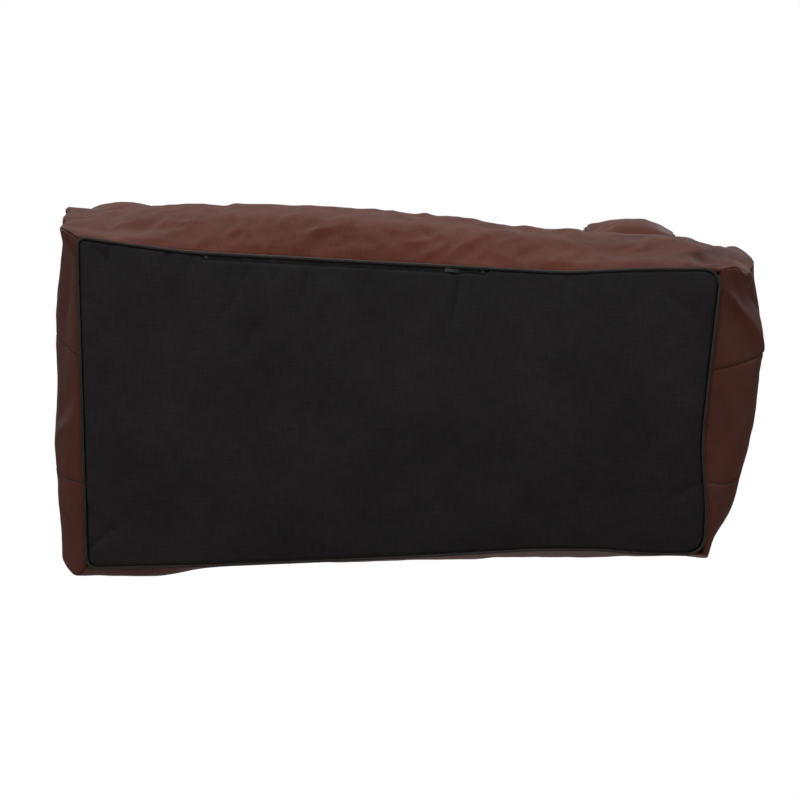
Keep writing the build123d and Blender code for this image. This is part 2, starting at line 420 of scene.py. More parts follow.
def make_world():
    """White where the camera sees it, and a soft grey light everywhere else."""
    world = bpy.data.worlds.new("studio")
    bpy.context.scene.world = world
    world.use_nodes = True
    tree = world.node_tree
    tree.nodes.clear()
    camera_ray = tree.nodes.new("ShaderNodeLightPath").outputs["Is Camera Ray"]
    seen = add_node(tree, "ShaderNodeBackground", {"Color": (1, 1, 1, 1)})
    soft = add_node(tree, "ShaderNodeBackground", {"Color": (0.9, 0.95, 1.0, 1), "Strength": 0.07})
    light = mixed(tree, camera_ray, soft.outputs["Background"], seen.outputs["Background"])
    add_node(tree, "ShaderNodeOutputWorld", {"Surface": light})


# name, position, target, size, power, colour
LIGHTS = (
    ("key_front", (-1.0, -3.2, 2.6), (0, 0, 0.15), 1.6, 128, (1, 1, 1)),
    ("low_front", (0.05, -1.9, -1.0), (0.0, -0.1, 0), 0.8, 28, (0.98, 0.98, 1.0)),
    ("low_left", (-3.0, 0.6, -1.2), (-0.5, 0, 0.1), 1.4, 27, (1.0, 0.87, 0.80)),
    ("below", (-1.3, -1.2, -2.8), (-0.3, 0, 0), 2.0, 8.5, (1, 1, 1)),
    ("low_right", (3.0, 0.5, -0.65), (0.5, 0, 0.1), 1.6, 22, (1.0, 0.83, 0.72)),
    ("overhead", (0.4, 0.6, 3.4), (0, 0, 0.3), 3.0, 110, (1, 1, 1)),
    ("rear", (0.6, 3.6, 1.8), (0, 0, 0.3), 2.2, 34, (1, 1, 1)),
)


def make_lights():
    for light in LIGHTS:
        area_light(*light)


# ---- parts of materials ----
def new_material(name):
    """A material, its node tree and its main shader."""
    material = bpy.data.materials.new(name)
    material.use_nodes = True
    tree = material.node_tree
    return material, tree, tree.nodes["Principled BSDF"]


def object_place(tree):
    return tree.nodes.new("ShaderNodeTexCoord").outputs["Object"]


def noise_texture(tree, place, **settings):
    """Noise over some coordinates; the settings are inputs of the texture's node."""
    return add_node(tree, "ShaderNodeTexNoise", {"Vector": place, **settings}).outputs["Fac"]


def colour_ramp(tree, factor, first, last, ends=(0.0, 1.0)):
    """A colour that goes from first to last as the factor goes between the ends."""
    ramp = add_node(tree, "ShaderNodeValToRGB", {"Fac": factor})
    for number, (position, colour) in enumerate(zip(ends, (first, last))):
        ramp.color_ramp.elements[number].position = position
        ramp.color_ramp.elements[number].color = (*colour, 1)
    return ramp.outputs["Color"]


def map_range(tree, factor, low, high, clamp=True):
    """A value that goes from low to high as the factor goes from 0 to 1."""
    inputs = {"Value": factor, "To Min": low, "To Max": high}
    return add_node(tree, "ShaderNodeMapRange", inputs, clamp=clamp).outputs["Result"]


def math_node(tree, operation, *values):
    """A calculation with numbers and with the outputs of other nodes."""
    inputs = dict(enumerate(values))
    return add_node(tree, "ShaderNodeMath", inputs, operation=operation).outputs["Value"]


def bump(tree, height, strength, distance, invert=False):
    """A surface's direction, once a height is raised on it."""
    inputs = {"Strength": strength, "Distance": distance, "Height": height}
    return add_node(tree, "ShaderNodeBump", inputs, invert=invert).outputs["Normal"]


def worn_look(tree, shader, colours, roughness, **grain):
    """A colour and a roughness that follow the same fine noise."""
    wear = noise_texture(tree, object_place(tree), **grain)
    colour = colour_ramp(tree, wear, *colours)
    set_inputs(tree, shader, {"Base Color": colour, "Roughness": map_range(tree, wear, *roughness)})


# ---- floor ----
FLOOR_HALF = 6.0
FLOOR_Z = -0.001
FLOOR_FADE = (0.9, 3.2)  # distances from the middle between which the floor fades away


def floor_material():
    """Pale and matt; clear from below and far out."""
    material, tree, shader = new_material("floor")
    place = object_place(tree)
    mottle = noise_texture(tree, place, Scale=3.0)
    colour = colour_ramp(tree, mottle, (0.84, 0.84, 0.83), (0.88, 0.88, 0.87))
    matt = {"Roughness": 0.9, "Specular IOR Level": 0.1, "Base Color": colour}
    set_inputs(tree, shader, matt)
    away = add_node(tree, "ShaderNodeVectorMath", {0: place}, operation="LENGTH").outputs["Value"]
    inputs = {"Value": away, "From Min": FLOOR_FADE[0], "From Max": FLOOR_FADE[1]}
    fade = add_node(tree, "ShaderNodeMapRange", inputs, interpolation_type="SMOOTHSTEP")
    below = tree.nodes.new("ShaderNodeNewGeometry").outputs["Backfacing"]
    gone = math_node(tree, "MAXIMUM", below, fade.outputs["Result"])
    clear = tree.nodes.new("ShaderNodeBsdfTransparent").outputs["BSDF"]
    surface = mixed(tree, gone, shader.outputs["BSDF"], clear)
    set_inputs(tree, tree.nodes["Material Output"], {"Surface": surface})
    return material


def make_floor():
    """A round floor that only shows from above, so that the base can be seen and lit from below."""
    corners = [
        (x * FLOOR_HALF, y * FLOOR_HALF, FLOOR_Z) for x, y in ((-1, -1), (1, -1), (1, 1), (-1, 1))
    ]
    floor = new_object("floor", np.array(corners), [(0, 1, 2, 3)])
    floor.data.materials.append(floor_material())
    floor.visible_shadow = False
    floor.visible_diffuse = False
    floor.visible_glossy = False


# ---- materials ----
SLUB_WIDE = 240.0  # slubs per metre across the threads
SLUB_LONG = 26.0  # and along them
SLUB_CONTRAST = 2.3
THREAD_HEIGHT = 0.35  # as a share of a thread's width
GRAIN_SCALE = 420.0  # the cloth's fine unevenness
GRAIN_HEIGHT = 0.8
DYE_ENDS = (0.32, 0.70)  # where in the noise the dark dye ends and the light one begins
THREAD_SHADE = (0.82, 1.02)  # painted shade: how dark the dye is in the weave's hollows and how light on the threads' tops


def weave_height(tree, thread):
    """A plain weave: the fabric's own coordinates, its threads' height, and that with a grain."""
    place = add_node(tree, "ShaderNodeAttribute", {}, attribute_name="weave").outputs["Vector"]
    split = add_node(tree, "ShaderNodeSeparateXYZ", {"Vector": place})
    warp, weft = (
        math_node(tree, "SINE", math_node(tree, "MULTIPLY", split.outputs[axis], math.pi / thread))
        for axis in "XY"
    )
    over = math_node(tree, "GREATER_THAN", math_node(tree, "MULTIPLY", warp, weft), 0.0)
    under = math_node(tree, "SUBTRACT", 1.0, over)
    warp_part = math_node(tree, "MULTIPLY", math_node(tree, "ABSOLUTE", warp), over)
    weft_part = math_node(tree, "MULTIPLY", math_node(tree, "ABSOLUTE", weft), under)
    height = math_node(tree, "ADD", warp_part, weft_part)
    grain = noise_texture(tree, place, Scale=GRAIN_SCALE, Detail=3.0)
    raised = math_node(tree, "MULTIPLY", grain, GRAIN_HEIGHT)
    return place, height, math_node(tree, "ADD", height, raised)


def add_slubs(tree, place, height):
    """The threads' height with slubs, the thicker stretches of a thread, both ways; it sets the painted
    shade in the cloth's colour.
    """
    for stretch in ((SLUB_WIDE, SLUB_LONG, 1.0), (SLUB_LONG, SLUB_WIDE, 1.0)):
        inputs = {1: stretch, 0: place}
        drawn = add_node(tree, "ShaderNodeVectorMath", inputs, operation="MULTIPLY")
        slub = noise_texture(tree, drawn.outputs["Vector"], Scale=1.0, Detail=2.0)
        height = math_node(tree, "MULTIPLY_ADD", slub, SLUB_CONTRAST, height)
    return math_node(tree, "SUBTRACT", height, SLUB_CONTRAST)


def fabric(name, dark, light, thread, roughness, specular, sheen, blotch=7.0, strength=0.35):
    """Woven cloth: mottled dye, painted shade in the weave's hollows, threads that catch the light, and
    a soft sheen.
    """
    material, tree, shader = new_material(name)
    place, height, grained = weave_height(tree, thread)
    mottle = noise_texture(tree, object_place(tree), Scale=blotch, Detail=6.0, Roughness=0.62)
    dye = colour_ramp(tree, mottle, dark, light, DYE_ENDS)
    # painted shade: the dye is multiplied darker where the threads and their slubs lie low, lighter on
    # their tops
    shade = map_range(tree, add_slubs(tree, place, height), *THREAD_SHADE, clamp=False)
    inputs = {"Factor": 1.0, "A": dye, "B": shade}
    threads = add_node(tree, "ShaderNodeMix", inputs, data_type="RGBA", blend_type="MULTIPLY")
    set_inputs(tree, shader, {
        "Specular IOR Level": specular,
        "Sheen Weight": sheen,
        "Sheen Roughness": 0.45,
        "Base Color": threads.outputs["Result"],
        "Roughness": map_range(tree, mottle, roughness - 0.08, roughness + 0.06),
        "Normal": bump(tree, grained, strength, thread * THREAD_HEIGHT),
    })
    return material


def bead_material():
    """White foam beads, packed close, with painted shade darkening the gaps between them."""
    material, tree, shader = new_material("bead_fill")
    inputs = {"Scale": 260.0, "Vector": object_place(tree)}
    away = add_node(tree, "ShaderNodeTexVoronoi", inputs).outputs["Distance"]
    # painted shade: white at each bead's middle, darker towards the gaps between beads
    colour = colour_ramp(tree, away, (0.88, 0.88, 0.87), (0.45, 0.45, 0.46))
    raised = bump(tree, away, 1.0, 0.002, invert=True)
    set_inputs(tree, shader, {"Roughness": 0.7, "Base Color": colour, "Normal": raised})
    return material


def metal_material():
    """Zinc with a gunmetal plating, dulled and scratched by handling."""
    material, tree, shader = new_material("zip_metal")
    set_inputs(tree, shader, {"Metallic": 1.0})
    colours = ((0.06, 0.06, 0.063), (0.30, 0.30, 0.295))
    worn_look(tree, shader, colours, (0.32, 0.55), Scale=900.0, Detail=5.0)
    return material


def nylon_material():
    """The zip's dark nylon coil."""
    material, tree, shader = new_material("zip_coil")
    colours = ((0.010, 0.010, 0.012), (0.030, 0.030, 0.034))
    worn_look(tree, shader, colours, (0.28, 0.50), Scale=300.0)
    return material


# dark and light dye, thread width, roughness, specular, sheen; then blotch scale, bump strength
FABRICS = {
    "cover_fabric": ((0.088, 0.026, 0.0165), (0.112, 0.034, 0.0215), 0.0011, 0.85, 0.03, 0.20),
    "base_fabric": ((0.0170, 0.0158, 0.0168), (0.0270, 0.0254, 0.0272), 0.0013, 0.85, 0.10, 0.04, 5.0),
    "piping_fabric": ((0.024, 0.021, 0.018), (0.040, 0.036, 0.031), 0.0009, 0.70, 0.20, 0.10, 30.0, 0.5),
    "piping_core": ((0.55, 0.52, 0.46), (0.70, 0.67, 0.60), 0.0008, 0.85, 0.2, 0.2, 30.0, 0.6),
    "liner_fabric": ((0.66, 0.65, 0.62), (0.76, 0.75, 0.72), 0.0010, 0.85, 0.2, 0.1, 12.0),
    "zip_tape": ((0.010, 0.010, 0.011), (0.016, 0.016, 0.018), 0.0006, 0.72, 0.25, 0.15, 40.0),
}
MATERIALS = {name: fabric(name, *look) for name, look in FABRICS.items()} | {
    "bead_fill": bead_material(),
    "zip_metal": metal_material(),
    "zip_coil": nylon_material(),
}


# ---- making pieces ----
CREASE_SHAPE = 1.4  # how sharply a fold's sides fall away; 2 is a round bell
CREASE_START = (-0.15, 0.35)  # where along a fold it rises
CREASE_END = (0.55, 1.15)  # and dies away
SWELL_SIZE = 0.17  # the broad swells of loose cloth
SWELL_SHARE = 1.3
FOLD_SIZE = 0.075  # its short drag folds
FOLD_SLANT = ((1.0, 0.0, 0.35), (0.0, 1.0, 0.35), (-0.4, -0.4, 0.45))
RIPPLE_SIZE = 0.03  # and its ripples
RIPPLE_SHARE = 0.06
PRESSURE = 4.0
CLOTH_FRAMES = 9
CALM_ROUNDS = 4
CORE_ROUNDS = 30  # how much the liner and the beads are rounded off inside the cover


def finish_piece(piece, node, slot, body="chair"):
    """Gives a piece its material, smooth shading and its body, and hides the CAD node that it stands
    for.
    """
    piece.data.materials.clear()
    piece.data.materials.append(MATERIALS[slot])
    piece.data.polygons.foreach_set("use_smooth", [True] * len(piece.data.polygons))
    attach(piece, body)
    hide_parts(node)


def set_weave(piece, corner_coordinates):
    """Stores the fabric's own flat coordinates, in metres, at each face corner."""
    layer = piece.data.attributes.new("weave", "FLOAT_VECTOR", "CORNER")
    flat = np.column_stack((corner_coordinates, np.zeros(len(corner_coordinates))))
    layer.data.foreach_set("vector", flat.astype(float).ravel())


def flat_coordinates(design, faces, sides):
    """Each face corner's place on the flat fabric, before the cover was filled."""
    axes = np.array([(0, 2), (0, 2), (1, 2), (1, 2), (0, 1), (0, 1)])
    chosen = axes[sides]
    corners = design[faces]
    u = np.take_along_axis(corners, chosen[:, None, :1], axis=2)[..., 0]
    v = np.take_along_axis(corners, chosen[:, None, 1:], axis=2)[..., 0]
    return np.stack((u, v), axis=2)


def boundary_edges(faces):
    """Edges with a face on one side only, in that face's direction."""
    edges = directed_edges(faces).tolist()
    present = {(a, b) for a, b in edges}
    return [(a, b) for a, b in edges if (b, a) not in present]


def sewn_panel(name, points, faces, normals, weave):
    """One panel of a cover: its edges stand back a little from the seam and turn in."""
    used, faces = renumbered(faces, len(points))
    place = points[used].copy()
    normal = normals[used]
    edges = boundary_edges(faces)
    rim = sorted({v for edge in edges for v in edge})
    centres = place[faces].mean(axis=1)
    inward = np.zeros_like(place)
    for corner in range(4):
        np.add.at(inward, faces[:, corner], centres)
    share = np.zeros(len(place))
    np.add.at(share, faces.ravel(), 1)
    inward = inward / share[:, None] - place
    inward -= (inward * normal).sum(axis=1, keepdims=True) * normal
    inward /= np.maximum(np.linalg.norm(inward, axis=1, keepdims=True), 1e-9)
    place[rim] += inward[rim] * SEAM_HALF - normal[rim] * SEAM_ROUND
    turned = place[rim] - normal[rim] * SEAM_DEPTH - inward[rim] * SEAM_HALF
    turned_index = {v: len(place) + i for i, v in enumerate(rim)}
    flange = [(b, a, turned_index[a], turned_index[b]) for a, b in edges]
    piece = new_object(name, np.vstack((place, turned)), np.vstack((faces, np.array(flange))))
    flange_weave = np.zeros((len(flange), 4, 2))
    set_weave(piece, np.vstack((weave, flange_weave)).reshape(-1, 2))
    return piece


def refine(points, faces, sides, design):
    """One smooth subdivision of a whole cover; each quad keeps its side, each point its flat place."""
    work = new_object("refined", points, faces)
    work.data.attributes.new("side", "INT", "FACE").data.foreach_set("value", sides.astype(int))
    flat = work.data.attributes.new("design", "FLOAT_VECTOR", "POINT")
    flat.data.foreach_set("vector", design.ravel())
    modifier = work.modifiers.new("smooth", "SUBSURF")
    modifier.levels = 1
    mesh = work.evaluated_get(bpy.context.evaluated_depsgraph_get()).data
    fine_points = read_array(mesh.vertices, "co", 3)
    fine_faces = read_array(mesh.loops, "vertex_index", 1, int).reshape(-1, 4)
    fine_sides = read_array(mesh.attributes["side"].data, "value", 1, int).ravel()
    fine_design = read_array(mesh.attributes["design"].data, "vector", 3)
    discard(work)
    return fine_points, fine_faces, fine_sides, fine_design


def smoothed(points, faces, rounds):
    """Points drawn towards their neighbours, so that sharp corners shrink back."""
    edges = directed_edges(faces)
    share = np.zeros(len(points))
    np.add.at(share, edges[:, 0], 1)
    for _ in range(rounds):
        total = np.zeros_like(points)
        np.add.at(total, edges[:, 0], points[edges[:, 1]])
        points = 0.5 * points + 0.5 * total / share[:, None]
    return points


def segment_distance(points, start, end):
    """Distance from a segment, and how far along it, from 0 to 1."""
    start = np.array(start)
    line = np.array(end) - start
    share = ((points - start) @ line) / (line @ line)
    nearest = start + np.clip(share, 0, 1)[:, None] * line
    return np.linalg.norm(points - nearest, axis=1), share


def crease_height(points, creases):
    """The height of folds at each point: each has start, end, half width and height."""
    height = np.zeros(len(points))
    for start, end, width, rise in creases:
        distance, share = segment_distance(points, start, end)
        fade = smooth_step(*CREASE_START, share) * (1 - smooth_step(*CREASE_END, share))
        height += rise * np.exp(-((distance / width) ** CREASE_SHAPE)) * fade
    return height


def loose_cloth(points, height, seed, folded=0.35):
    """The uneven lie of cloth that beads push out: broad swells and short drag folds."""
    swell = fractal(points, SWELL_SIZE, seed, 2)
    folds = 1 - 2 * np.abs(fractal(points @ np.array(FOLD_SLANT), FOLD_SIZE, seed + 5, 2))
    ripple = fractal(points, RIPPLE_SIZE, seed + 9, 2)
    return height * (SWELL_SHARE * swell + folded * folds + RIPPLE_SHARE * ripple)


def inflate(points, faces, held, gathered, cap):
    """Fills a cover with Blender's cloth: held points stay, gathered seams draw up a little.

    No point moves farther than cap."""
    work = new_object("cloth_work", points, faces)
    for name, chosen in (("held", held), ("gathered", gathered)):
        group = work.vertex_groups.new(name=name)
        group.add([int(i) for i in np.nonzero(chosen)[0]], 1.0, "REPLACE")
    modifier = work.modifiers.new("cloth", "CLOTH")
    settings = modifier.settings
    settings.quality = 5
    settings.mass = 0.3
    settings.tension_stiffness = 25
    settings.compression_stiffness = 25
    settings.shear_stiffness = 12
    settings.bending_stiffness = 0.3
    settings.air_damping = 1.0
    settings.vertex_group_mass = "held"
    settings.vertex_group_shrink = "gathered"
    settings.shrink_min = 0.0
    settings.shrink_max = 0.03
    settings.use_pressure = True
    settings.uniform_pressure_force = PRESSURE
    settings.effector_weights.gravity = 0
    modifier.point_cache.frame_start = 1
    modifier.point_cache.frame_end = CLOTH_FRAMES
    scene = bpy.context.scene
    for frame_number in range(1, CLOTH_FRAMES + 1):
        scene.frame_set(frame_number)
    graph = bpy.context.evaluated_depsgraph_get()
    settled = read_array(work.evaluated_get(graph).data.vertices, "co", 3)
    discard(work)
    scene.frame_set(1)
    move = settled - points
    length = np.linalg.norm(move, axis=1, keepdims=True)
    move *= np.minimum(1.0, cap / np.maximum(length, 1e-9))
    return points + move


def rested(points, faces, held):
    """The filled cover once its ripples have died away; its held points stay."""
    return np.where(held[:, None], points, smoothed(points, faces, CALM_ROUNDS))


def inner_layers(prefix, points, faces):
    """The liner and the beads inside a cover, each a closed form under it."""
    core = smoothed(points, faces, CORE_ROUNDS)
    normals = point_normals(core, faces)
    for node, slot, depth in (
        (f"{prefix}_liner", "liner_fabric", LINER_DEPTH),
        (f"{prefix}_bead_fill", "bead_fill", FILL_DEPTH),
    ):
        inside = core - normals * depth
        piece = new_object(node, inside, faces)
        set_weave(piece, inside[faces.ravel()][:, (0, 2)])
        finish_piece(piece, node, slot)


def folded_cover(points, faces, height, free):
    """A cover with its folds raised; free says between which heights they come up to full size."""
    height = np.maximum(height, -DEEPEST_FOLD) * smooth_step(*free, points[:, 2])
    return points + point_normals(points, faces) * height[:, None]


def cut_panels(points, faces, sides, design, panels):
    """Cuts a cover into its sewn panels; panels gives the faces of each."""
    normals = point_normals(points, faces)
    weave = flat_coordinates(design, faces, sides)
    for node, chosen in panels.items():
        piece = sewn_panel(node, points, faces[chosen], normals, weave[chosen])
        finish_piece(piece, node, "cover_fabric")


# ---- the seat block's pieces ----
# places where the seat's cover is drawn out or in: the corners of the top seam stand out as
# points, and the beads have sunk against the foot of the rear wall: place, reach, move
PULLS = (
    ((-0.75, -0.345, 0.345), 0.045, (-0.04, 0.0, 0.014)),
    ((-0.735, -0.345, 0.15), 0.08, (0.01, 0.006, 0.0)),
    ((0.715, -0.325, 0.345), 0.045, (-0.018, -0.018, 0.014)),
    ((0.74, -0.28, 0.16), 0.08, (-0.004, 0.0, 0.0)),
    ((-0.69, 0.37, 0.04), 0.07, (0.0, 0.023, 0.0)),
    ((-0.59, 0.37, 0.04), 0.07, (0.0, 0.023, 0.0)),
    ((-0.49, 0.36, 0.04), 0.07, (0.0, 0.021, 0.0)),
    ((0.72, -0.1, 0.09), 0.07, (0.0, -0.026, 0.0)),
    ((0.76, -0.11, 0.2), 0.09, (0.0, -0.026, 0.0)),
    ((0.72, 0.11, 0.09), 0.06, (0.0, -0.012, 0.0)),
    ((0.75, 0.15, 0.2), 0.09, (0.0, -0.036, 0.0)),
)

# folds in the seat block's cover: start, end, half width, height
SEAT_CREASES = (
    ((-0.52, -0.36, 0.3), (-0.36, -0.37, 0.12), 0.02, 0.007),
    ((-0.4, -0.36, 0.28), (-0.25, -0.36, 0.1), 0.022, -0.006),
    ((-0.36, -0.36, 0.05), (-0.28, -0.37, 0.18), 0.012, 0.006),
    ((0.06, -0.36, 0.3), (0.18, -0.36, 0.14), 0.018, 0.008),
    ((0.14, -0.36, 0.3), (0.26, -0.36, 0.16), 0.018, -0.006),
    ((0.3, -0.35, 0.27), (0.42, -0.35, 0.13), 0.014, 0.007),
    ((0.52, -0.35, 0.3), (0.46, -0.35, 0.14), 0.016, -0.006),
    ((-0.72, -0.36, 0.19), (-0.64, -0.37, 0.11), 0.012, 0.006),
    ((-0.66, -0.36, 0.16), (-0.58, -0.37, 0.31), 0.014, 0.007),
    ((-0.58, -0.36, 0.09), (-0.47, -0.37, 0.05), 0.022, -0.007),
    ((-0.5, -0.36, 0.11), (-0.46, -0.35, 0.01), 0.01, 0.004),
    ((-0.22, -0.36, 0.05), (-0.11, -0.37, 0.1), 0.012, 0.006),
    ((-0.2, -0.37, 0.12), (-0.06, -0.38, 0.27), 0.013, 0.008),
    ((-0.3, -0.37, 0.2), (-0.14, -0.38, 0.31), 0.016, -0.006),
    ((-0.04, -0.36, 0.08), (0.04, -0.37, 0.14), 0.011, 0.006),
    ((-0.03, -0.37, 0.17), (0.06, -0.38, 0.26), 0.013, 0.005),
    ((0.0, -0.36, 0.13), (0.07, -0.36, 0.05), 0.014, -0.006),
    ((0.21, -0.36, 0.31), (0.29, -0.36, 0.15), 0.012, 0.009),
    ((0.12, -0.36, 0.06), (0.22, -0.36, 0.16), 0.014, 0.005),
    ((0.25, -0.36, 0.3), (0.35, -0.35, 0.12), 0.016, -0.005),
    ((0.38, -0.35, 0.08), (0.43, -0.35, 0.02), 0.01, 0.005),
    ((0.44, -0.35, 0.24), (0.49, -0.35, 0.03), 0.012, 0.006),
    ((0.72, -0.33, 0.32), (0.52, -0.35, 0.04), 0.016, 0.011),
    ((0.73, -0.3, 0.24), (0.6, -0.34, 0.04), 0.022, -0.008),
    ((0.645, -0.3, 0.02), (0.765, -0.13, 0.2), 0.013, 0.018),
    ((0.68, -0.32, 0.05), (0.765, -0.2, 0.24), 0.022, -0.011),
    ((0.64, -0.22, 0.03), (0.76, -0.07, 0.22), 0.018, -0.008),
    ((-0.67, 0.05, 0.03), (-0.75, 0.13, 0.14), 0.012, 0.005),
    ((-0.67, 0.0, 0.03), (-0.75, 0.08, 0.13), 0.014, -0.005),
    ((-0.67, -0.18, 0.03), (-0.75, -0.12, 0.12), 0.01, 0.004),
    ((-0.71, 0.32, 0.05), (-0.74, 0.2, 0.2), 0.012, -0.006),
    ((0.2, 0.33, 0.05), (0.05, 0.37, 0.25), 0.02, 0.008),
    ((-0.3, 0.39, 0.06), (-0.15, 0.38, 0.28), 0.022, 0.009),
    ((0.5, 0.3, 0.05), (0.42, 0.33, 0.26), 0.016, -0.008),
    ((-0.6, 0.4, 0.1), (-0.42, 0.39, 0.26), 0.02, -0.008),
)


PAD_MARGIN = 0.02  # how far inside an arm or the backrest the seat's top is held down
ARM_FRONT_MARGIN = 0.03
HELD_REAR = 0.34  # behind this the seat's top fills out under the backrest
SEAT_CAP = 0.026  # the farthest that the beads push the seat's cover out
FREE_OF_BASE = (0.004, 0.03)  # heights between which the cover comes free of the base
NEAR_TOP = (0.20, 0.31)  # heights between which the folds die away towards the top seam
TOP_CALM = 0.85
NEAR_FRONT = (-0.345, -0.31)  # depths between which the front wall's sharper folds die away
SEAT_LOOSE = 0.0030
SEAT_FOLDED = 0.25
SEAT_SEED = 1.0


def under_pads(design):
    """Where an arm or the backrest holds the seat's top down."""
    arm_low, arm_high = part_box("left_arm_wrap")
    back_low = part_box("back_front_panel")[0]
    x, y, _ = design.T
    under_arm = (np.abs(x) > -arm_high[0] + PAD_MARGIN) & (np.abs(x) < -arm_low[0] - PAD_MARGIN)
    under_arm &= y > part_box("left_arm_front_panel")[0][1] + ARM_FRONT_MARGIN
    return under_arm | ((y > back_low[1] + PAD_MARGIN) & (y < HELD_REAR))


def seat_panels(sides, centre):
    """The faces of each of the seat block's panels, from their sides and their flat middles."""
    foot_y = centre[:, 1] / np.interp(centre[:, 2], WALL_LEVELS, WALL_DEPTH)
    cell = HALF_DEPTH / seat_counts()[1]
    low, high = (round(seam / cell) * cell for seam in SIDE_SEAMS)
    panels = {
        "seat_front_panel": sides == FRONT,
        "seat_rear_panel": sides == REAR,
        "seat_top_panel": sides == TOP,
    }
    for name, side in (("left", LEFT), ("right", RIGHT)):
        wall = sides == side
        panels[f"{name}_side_front_strip"] = wall & (foot_y < low)
        panels[f"{name}_side_middle_strip"] = wall & (foot_y >= low) & (foot_y < high)
        panels[f"{name}_side_rear_strip"] = wall & (foot_y >= high)
    return panels


def filled_seat():
    """The seat's cover, filled and settled, before its folds."""
    cells, faces, sides, design = seat_shell()
    on_top = cells[:, 2] > OUTER
    held = (cells[:, 2] < -OUTER) | (on_top & under_pads(design))
    edge_x = np.abs(cells[:, 0]) > OUTER
    edge_y = np.abs(cells[:, 1]) > OUTER
    gathered = (edge_x & edge_y) | (on_top & (edge_x | edge_y))
    filled = inflate(design, faces, held, gathered, SEAT_CAP)
    points = settle(rested(filled, faces, held), cells)
    pulled = points
    for centre, reach, move in PULLS:
        pulled = pull(pulled, centre, reach, move)
    above_floor = smooth_step(*FREE_OF_BASE, points[:, 2])[:, None]
    return points + (pulled - points) * above_floor, faces, sides, design


def seat_block():
    points, faces, sides, design = filled_seat()
    inner_layers("seat", points, faces)
    points, faces, sides, design = refine(points, faces, sides, design)
    near_top = smooth_step(*NEAR_TOP, points[:, 2])
    front_wall = (1 - smooth_step(*NEAR_FRONT, points[:, 1])) * (1 - near_top)
    height = crease_height(points, SEAT_CREASES) * (1 - TOP_CALM * near_top)
    height += loose_cloth(points, SEAT_LOOSE, SEAT_SEED, SEAT_FOLDED + front_wall)
    points = folded_cover(points, faces, height, FREE_OF_BASE)
    panels = seat_panels(sides, design[faces].mean(axis=1))
    cut_panels(points, faces, sides, design, panels)


# ---- the arms and the backrest ----
PAD_RADIUS = 0.022
PAD_CAP = 0.020
PAD_LOOSE = 0.0028
FREE_OF_SEAT = (SEAT_TOP, SEAT_TOP + 0.03)

# the boxes that the arms and the backrest fill once they have leant over
SETTLED = {
    "left_arm": ((-0.752, -0.343, 0.332), (-0.478, 0.215, 0.605)),
    "right_arm": ((0.362, -0.360, 0.334), (0.640, 0.215, 0.605)),
    "back": ((-0.745, 0.185, 0.334), (0.660, 0.388, 0.650)),
}
BENDS = {
    "left_arm": (
        ((-0.49, -0.32, 0.55), 0.12, (0.0, 0.030, 0.0)),
        ((-0.73, -0.33, 0.50), 0.10, (-0.026, 0.004, 0.0)),
    ),
    "right_arm": (((0.66, -0.34, 0.50), 0.13, (-0.022, 0.008, 0.0)),),
    "back": (((0.66, 0.40, 0.60), 0.20, (-0.02, -0.02, -0.01)),),
}
PAD_CREASES = {
    "left_arm": (
        ((-0.73, -0.20, 0.42), (-0.70, -0.02, 0.52), 0.016, -0.008),
        ((-0.56, -0.30, 0.60), (-0.60, -0.10, 0.60), 0.018, 0.006),
        ((-0.50, 0.05, 0.58), (-0.62, 0.14, 0.60), 0.018, -0.007),
    ),
    "right_arm": (
        ((0.50, -0.34, 0.40), (0.53, -0.34, 0.60), 0.012, 0.010),
        ((0.62, -0.15, 0.42), (0.60, 0.05, 0.55), 0.016, -0.008),
        ((0.42, -0.25, 0.60), (0.52, -0.05, 0.60), 0.018, 0.006),
    ),
    "back": (
        ((-0.55, 0.19, 0.42), (-0.35, 0.19, 0.58), 0.020, -0.009),
        ((0.10, 0.19, 0.40), (0.02, 0.19, 0.60), 0.016, 0.007),
        ((0.40, 0.19, 0.44), (0.55, 0.20, 0.60), 0.020, -0.009),
        ((-0.20, 0.39, 0.40), (-0.05, 0.39, 0.60), 0.022, 0.009),
        ((0.30, 0.39, 0.42), (0.45, 0.38, 0.60), 0.022, -0.009),
        ((-0.60, 0.39, 0.60), (-0.45, 0.39, 0.42), 0.018, 0.008),
        ((-0.30, 0.22, 0.65), (-0.15, 0.34, 0.65), 0.018, 0.007),
        ((0.25, 0.24, 0.65), (0.35, 0.36, 0.65), 0.020, -0.008),
    ),
}


def pad(prefix, panels, low, high):
    """An arm or the backrest: a closed pouch, filled, settled, and cut into its sewn panels."""
    cells, faces, sides, design = pouch_shell(low, high, PAD_RADIUS)
    held = cells[:, 2] < -OUTER
    edges = (np.abs(cells) > OUTER).sum(axis=1) > 1
    filled = inflate(design, faces, held, edges, PAD_CAP)
    points = fit_box(rested(filled, faces, held), *SETTLED[prefix])
    for centre, reach, move in BENDS[prefix]:
        points = pull(points, centre, reach, move)
    inner_layers(prefix, points, faces)
    points, faces, sides, design = refine(points, faces, sides, design)
    height = crease_height(points, PAD_CREASES[prefix])
    height += loose_cloth(points, PAD_LOOSE, len(prefix))
    points = folded_cover(points, faces, height, FREE_OF_SEAT)
    chosen = {node: np.isin(sides, panel_sides) for node, panel_sides in panels.items()}
    cut_panels(points, faces, sides, design, chosen)


def arm(prefix):
    low = list(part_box(f"{prefix}_wrap")[0])
    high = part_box(f"{prefix}_wrap")[1]
    low[1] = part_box(f"{prefix}_front_panel")[0][1]
    panels = {f"{prefix}_front_panel": [FRONT], f"{prefix}_wrap": [REAR, LEFT, RIGHT, BOTTOM, TOP]}
    pad(prefix, panels, low, high)


